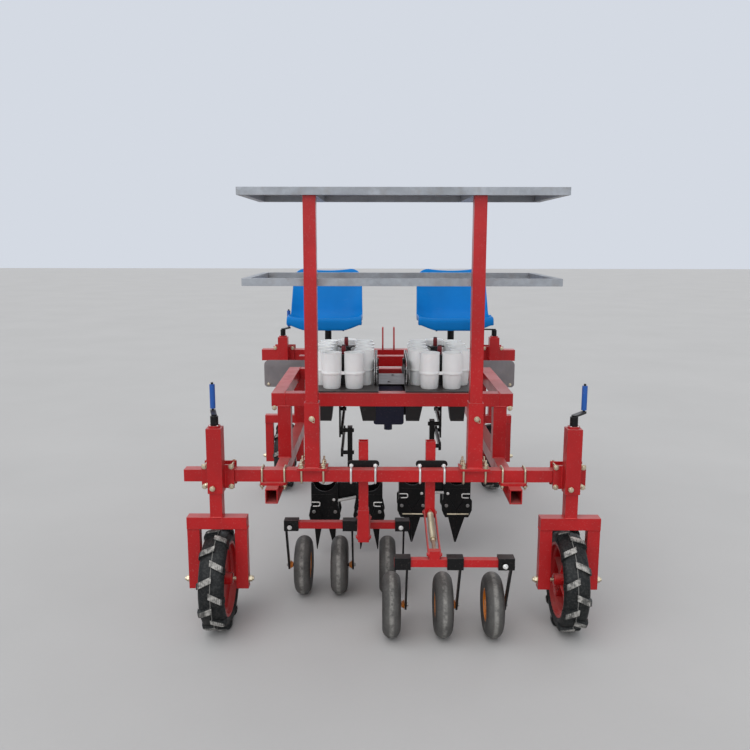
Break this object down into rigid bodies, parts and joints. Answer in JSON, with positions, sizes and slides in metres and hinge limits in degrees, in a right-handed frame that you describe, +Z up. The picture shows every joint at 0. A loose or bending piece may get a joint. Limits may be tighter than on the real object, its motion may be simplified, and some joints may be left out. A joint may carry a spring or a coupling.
{
  "type": "tractor-mounted vegetable transplanter",
  "caption": "Tractor-mounted vegetable transplanter with seats, rings of seedling cups, beaked planting buckets on parallel links, press wheels, tray racks and lugged wheels.",
  "frame": {"origin": "on the ground, at the middle of the machine's length and width", "axes": "+Y is the direction of travel, towards the tractor; +X is right when facing that way; +Z is up"},
  "size_m": [1.72, 2.2893, 1.79],
  "materials": {
    "red_paint": "gloss",
    "black_paint": "satin",
    "navy_paint": "satin",
    "orange_paint": "satin",
    "grey_steel": "satin",
    "galvanised": "satin",
    "zinc": "satin",
    "seat_plastic": "gloss",
    "grip_plastic": "gloss",
    "cup_plastic": "matt",
    "black_plastic": "matt",
    "tyre": "matt",
    "press_rubber": "matt"
  },
  "bodies": {
    "frame": {"toolbars": "red_paint", "side_rails": "red_paint", "cross_rails": "red_paint", "frame_legs": "red_paint", "hitch_brackets": "red_paint", "post_sockets": "red_paint", "rack_posts": "red_paint", "jack_sleeves": "red_paint", "wheel_forks": "red_paint", "fork_stems": "red_paint", "press_gang_frames": "red_paint", "tray_racks": "galvanised", "seats": "seat_plastic", "side_guards": "grey_steel", "drive_box": "navy_paint", "seat_pillars": "black_paint", "hanger_plates": "black_paint", "cup_trays": "black_paint", "wheel_straps": "black_paint", "drop_funnels": "black_plastic", "cup_rings": "cup_plastic", "wheel_axles": "zinc", "jack_cranks": "zinc", "crank_grips": "grip_plastic"},
    "wheel_rear_left": {"tyre_rear_left": "tyre", "rim_rear_left": "red_paint"},
    "wheel_rear_right": {"tyre_rear_right": "tyre", "rim_rear_right": "red_paint"},
    "wheel_front_left": {"tyre_front_left": "tyre", "rim_front_left": "red_paint"},
    "wheel_front_right": {"tyre_front_right": "tyre", "rim_front_right": "red_paint"},
    "press_wheel_left_1": {"press_tyre_left_1": "press_rubber", "press_hub_left_1": "orange_paint"},
    "press_wheel_left_2": {"press_tyre_left_2": "press_rubber", "press_hub_left_2": "orange_paint"},
    "press_wheel_left_3": {"press_tyre_left_3": "press_rubber", "press_hub_left_3": "orange_paint"},
    "press_wheel_right_1": {"press_tyre_right_1": "press_rubber", "press_hub_right_1": "orange_paint"},
    "press_wheel_right_2": {"press_tyre_right_2": "press_rubber", "press_hub_right_2": "orange_paint"},
    "press_wheel_right_3": {"press_tyre_right_3": "press_rubber", "press_hub_right_3": "orange_paint"},
    "upper_link_left": {"upper_link_left": "black_paint"},
    "lower_link_left": {"lower_link_left": "black_paint"},
    "carrier_left": {"carrier_left": "black_paint", "buckets_left": "black_paint"},
    "jaw_left_inner_left": {"jaw_left_inner_left": "black_paint"},
    "jaw_left_inner_right": {"jaw_left_inner_right": "black_paint"},
    "jaw_left_outer_left": {"jaw_left_outer_left": "black_paint"},
    "jaw_left_outer_right": {"jaw_left_outer_right": "black_paint"},
    "upper_link_right": {"upper_link_right": "black_paint"},
    "lower_link_right": {"lower_link_right": "black_paint"},
    "carrier_right": {"carrier_right": "black_paint", "buckets_right": "black_paint"},
    "jaw_right_inner_left": {"jaw_right_inner_left": "black_paint"},
    "jaw_right_inner_right": {"jaw_right_inner_right": "black_paint"},
    "jaw_right_outer_left": {"jaw_right_outer_left": "black_paint"},
    "jaw_right_outer_right": {"jaw_right_outer_right": "black_paint"}
  },
  "joints": [
    {"name": "wheel_rear_left_spin", "type": "hinge", "parent": "frame", "child": "wheel_rear_left", "pos_m": [-0.718, -0.933, 0.208], "axis": [1, 0, 0], "continuous": true},
    {"name": "wheel_rear_right_spin", "type": "hinge", "parent": "frame", "child": "wheel_rear_right", "pos_m": [0.718, -0.933, 0.208], "axis": [1, 0, 0], "continuous": true},
    {"name": "wheel_front_left_spin", "type": "hinge", "parent": "frame", "child": "wheel_front_left", "pos_m": [-0.668, 0.933, 0.208], "axis": [1, 0, 0], "continuous": true},
    {"name": "wheel_front_right_spin", "type": "hinge", "parent": "frame", "child": "wheel_front_right", "pos_m": [0.668, 0.933, 0.208], "axis": [1, 0, 0], "continuous": true},
    {"name": "press_wheel_left_1_spin", "type": "hinge", "parent": "frame", "child": "press_wheel_left_1", "pos_m": [-0.4, -0.615, 0.131], "axis": [1, 0, 0], "continuous": true},
    {"name": "press_wheel_left_2_spin", "type": "hinge", "parent": "frame", "child": "press_wheel_left_2", "pos_m": [-0.237, -0.615, 0.131], "axis": [1, 0, 0], "continuous": true},
    {"name": "press_wheel_left_3_spin", "type": "hinge", "parent": "frame", "child": "press_wheel_left_3", "pos_m": [-0.02, -0.615, 0.131], "axis": [1, 0, 0], "continuous": true},
    {"name": "press_wheel_right_1_spin", "type": "hinge", "parent": "frame", "child": "press_wheel_right_1", "pos_m": [-0.008, -1.005, 0.131], "axis": [1, 0, 0], "continuous": true},
    {"name": "press_wheel_right_2_spin", "type": "hinge", "parent": "frame", "child": "press_wheel_right_2", "pos_m": [0.201, -1.005, 0.131], "axis": [1, 0, 0], "continuous": true},
    {"name": "press_wheel_right_3_spin", "type": "hinge", "parent": "frame", "child": "press_wheel_right_3", "pos_m": [0.402, -1.005, 0.131], "axis": [1, 0, 0], "continuous": true},
    {"name": "lift_left", "type": "hinge", "parent": "frame", "child": "upper_link_left", "pos_m": [-0.244, 0.07, 0.708], "axis": [-1, 0, 0], "range_deg": [-3, 42]},
    {"name": "lower_link_left_pivot", "type": "hinge", "parent": "frame", "child": "lower_link_left", "pos_m": [-0.244, 0.07, 0.594], "axis": [-1, 0, 0], "range_deg": [-3, 42]},
    {"name": "carrier_left_pivot", "type": "hinge", "parent": "upper_link_left", "child": "carrier_left", "pos_m": [-0.244, -0.18432, 0.65394], "axis": [-1, 0, 0], "range_deg": [-42, 3]},
    {"name": "jaw_left_inner_left_open", "type": "hinge", "parent": "carrier_left", "child": "jaw_left_inner_left", "pos_m": [-0.161, -0.18432, 0.24994], "axis": [0, 1, 0], "range_deg": [-11, 3]},
    {"name": "jaw_left_inner_right_open", "type": "hinge", "parent": "carrier_left", "child": "jaw_left_inner_right", "pos_m": [-0.055, -0.18432, 0.24994], "axis": [0, -1, 0], "range_deg": [-11, 3]},
    {"name": "jaw_left_outer_left_open", "type": "hinge", "parent": "carrier_left", "child": "jaw_left_outer_left", "pos_m": [-0.383, -0.18432, 0.24994], "axis": [0, 1, 0], "range_deg": [-11, 3]},
    {"name": "jaw_left_outer_right_open", "type": "hinge", "parent": "carrier_left", "child": "jaw_left_outer_right", "pos_m": [-0.277, -0.18432, 0.24994], "axis": [0, -1, 0], "range_deg": [-11, 3]},
    {"name": "lift_right", "type": "hinge", "parent": "frame", "child": "upper_link_right", "pos_m": [0.244, 0.07, 0.708], "axis": [-1, 0, 0], "range_deg": [-11, 34]},
    {"name": "lower_link_right_pivot", "type": "hinge", "parent": "frame", "child": "lower_link_right", "pos_m": [0.244, 0.07, 0.594], "axis": [-1, 0, 0], "range_deg": [-11, 34]},
    {"name": "carrier_right_pivot", "type": "hinge", "parent": "upper_link_right", "child": "carrier_right", "pos_m": [0.244, -0.18937, 0.68986], "axis": [-1, 0, 0], "range_deg": [-34, 11]},
    {"name": "jaw_right_inner_left_open", "type": "hinge", "parent": "carrier_right", "child": "jaw_right_inner_left", "pos_m": [0.055, -0.18937, 0.28586], "axis": [0, 1, 0], "range_deg": [0, 14]},
    {"name": "jaw_right_inner_right_open", "type": "hinge", "parent": "carrier_right", "child": "jaw_right_inner_right", "pos_m": [0.161, -0.18937, 0.28586], "axis": [0, -1, 0], "range_deg": [0, 14]},
    {"name": "jaw_right_outer_left_open", "type": "hinge", "parent": "carrier_right", "child": "jaw_right_outer_left", "pos_m": [0.277, -0.18937, 0.28586], "axis": [0, 1, 0], "range_deg": [0, 14]},
    {"name": "jaw_right_outer_right_open", "type": "hinge", "parent": "carrier_right", "child": "jaw_right_outer_right", "pos_m": [0.383, -0.18937, 0.28586], "axis": [0, -1, 0], "range_deg": [0, 14]}
  ],
  "couplings": [
    {"joint": "lower_link_left_pivot", "follows": "lift_left", "ratio": 1},
    {"joint": "carrier_left_pivot", "follows": "lift_left", "ratio": -1},
    {"joint": "jaw_left_inner_right_open", "follows": "jaw_left_inner_left_open", "ratio": 1},
    {"joint": "jaw_left_outer_left_open", "follows": "jaw_left_inner_left_open", "ratio": 1},
    {"joint": "jaw_left_outer_right_open", "follows": "jaw_left_inner_left_open", "ratio": 1},
    {"joint": "lower_link_right_pivot", "follows": "lift_right", "ratio": 1},
    {"joint": "carrier_right_pivot", "follows": "lift_right", "ratio": -1},
    {"joint": "jaw_right_inner_right_open", "follows": "jaw_right_inner_left_open", "ratio": 1},
    {"joint": "jaw_right_outer_left_open", "follows": "jaw_right_inner_left_open", "ratio": 1},
    {"joint": "jaw_right_outer_right_open", "follows": "jaw_right_inner_left_open", "ratio": 1}
  ]
}
